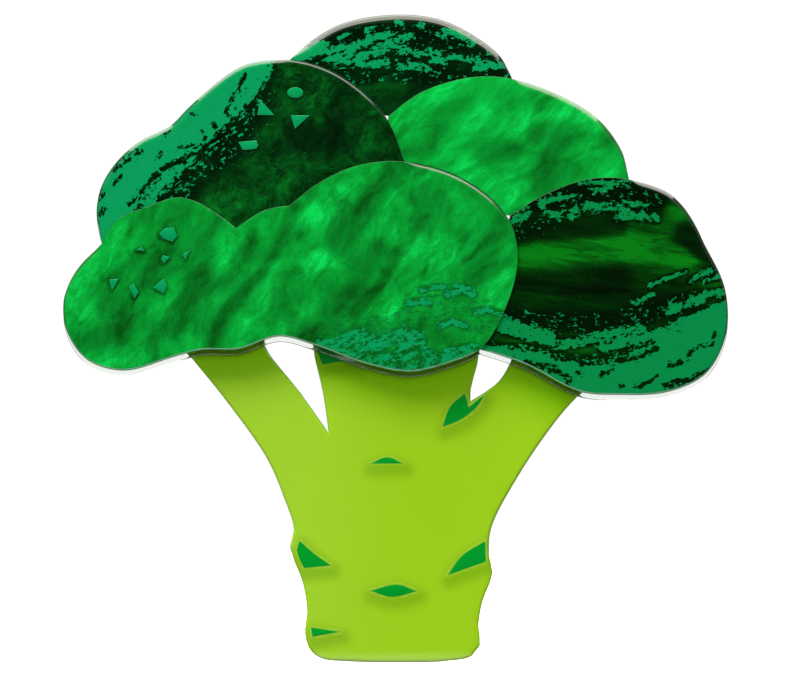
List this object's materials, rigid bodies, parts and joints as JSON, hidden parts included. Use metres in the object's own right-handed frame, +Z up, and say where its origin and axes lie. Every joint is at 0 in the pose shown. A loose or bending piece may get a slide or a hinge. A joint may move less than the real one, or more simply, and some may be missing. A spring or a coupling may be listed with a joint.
{
  "type": "acrylic broccoli brooch",
  "caption": "Flat brooch of layered glossy acrylic in the shape of a broccoli head, with a hinged needle and a turning safety catch on a bar at the back.",
  "frame": {"origin": "middle of the needle's axis at the back, where the brooch hangs on the cloth", "axes": "+Z up as worn, -Y out of the decorated face, +Y from the face towards the wearer, +X to the right seen from the front"},
  "size_m": [0.0599, 0.0119, 0.0584],
  "materials": {
    "lime_acrylic": "translucent lime green acrylic, polished",
    "clear_acrylic": "clear acrylic, polished",
    "bright_pearl_acrylic": "bright green pearl acrylic with soft swirls, polished",
    "dark_pearl_acrylic": "dark green pearl acrylic with soft swirls, polished",
    "dark_green_fill": "deep green enamel fill",
    "emerald_fill": "emerald enamel, satin",
    "pin_steel": "plated steel, polished",
    "needle_steel": "drawn steel wire"
  },
  "bodies": {
    "brooch": {"stem_plate": "lime_acrylic", "floret_base": "clear_acrylic", "floret_front": "bright_pearl_acrylic", "floret_right_upper": "bright_pearl_acrylic", "floret_left": "dark_pearl_acrylic", "floret_top": "dark_pearl_acrylic", "floret_right_lower": "dark_pearl_acrylic", "pin_bar": "pin_steel", "hinge_bracket": "pin_steel", "hinge_rivet": "pin_steel", "catch_barrel": "pin_steel", "chip_left_1": "emerald_fill", "chip_left_2": "emerald_fill", "chip_left_3": "emerald_fill", "chip_left_4": "emerald_fill", "chip_front_1": "emerald_fill", "chip_front_2": "emerald_fill", "chip_front_3": "emerald_fill", "chip_front_4": "emerald_fill", "chip_front_5": "emerald_fill", "chip_front_6": "emerald_fill", "chip_front_7": "emerald_fill", "mark_upper_dash": "dark_green_fill", "mark_lower_dash": "dark_green_fill", "mark_left_knot": "dark_green_fill", "mark_right_knot": "dark_green_fill", "mark_foot_wedge": "dark_green_fill", "mark_fork_leaf": "dark_green_fill", "mark_neck_sliver": "dark_green_fill"},
    "needle": {"needle": "needle_steel"},
    "safety_roller": {"safety_roller": "pin_steel"}
  },
  "joints": [
    {"name": "needle_hinge", "type": "hinge", "parent": "brooch", "child": "needle", "pos_m": [-0.0136, 0, 0], "axis": [0, 0, 1], "range_deg": [0, 85]},
    {"name": "safety_turn", "type": "hinge", "parent": "brooch", "child": "safety_roller", "pos_m": [0.0134, 0, 0], "axis": [1, 0, 0], "range_deg": [0, 100]}
  ]
}
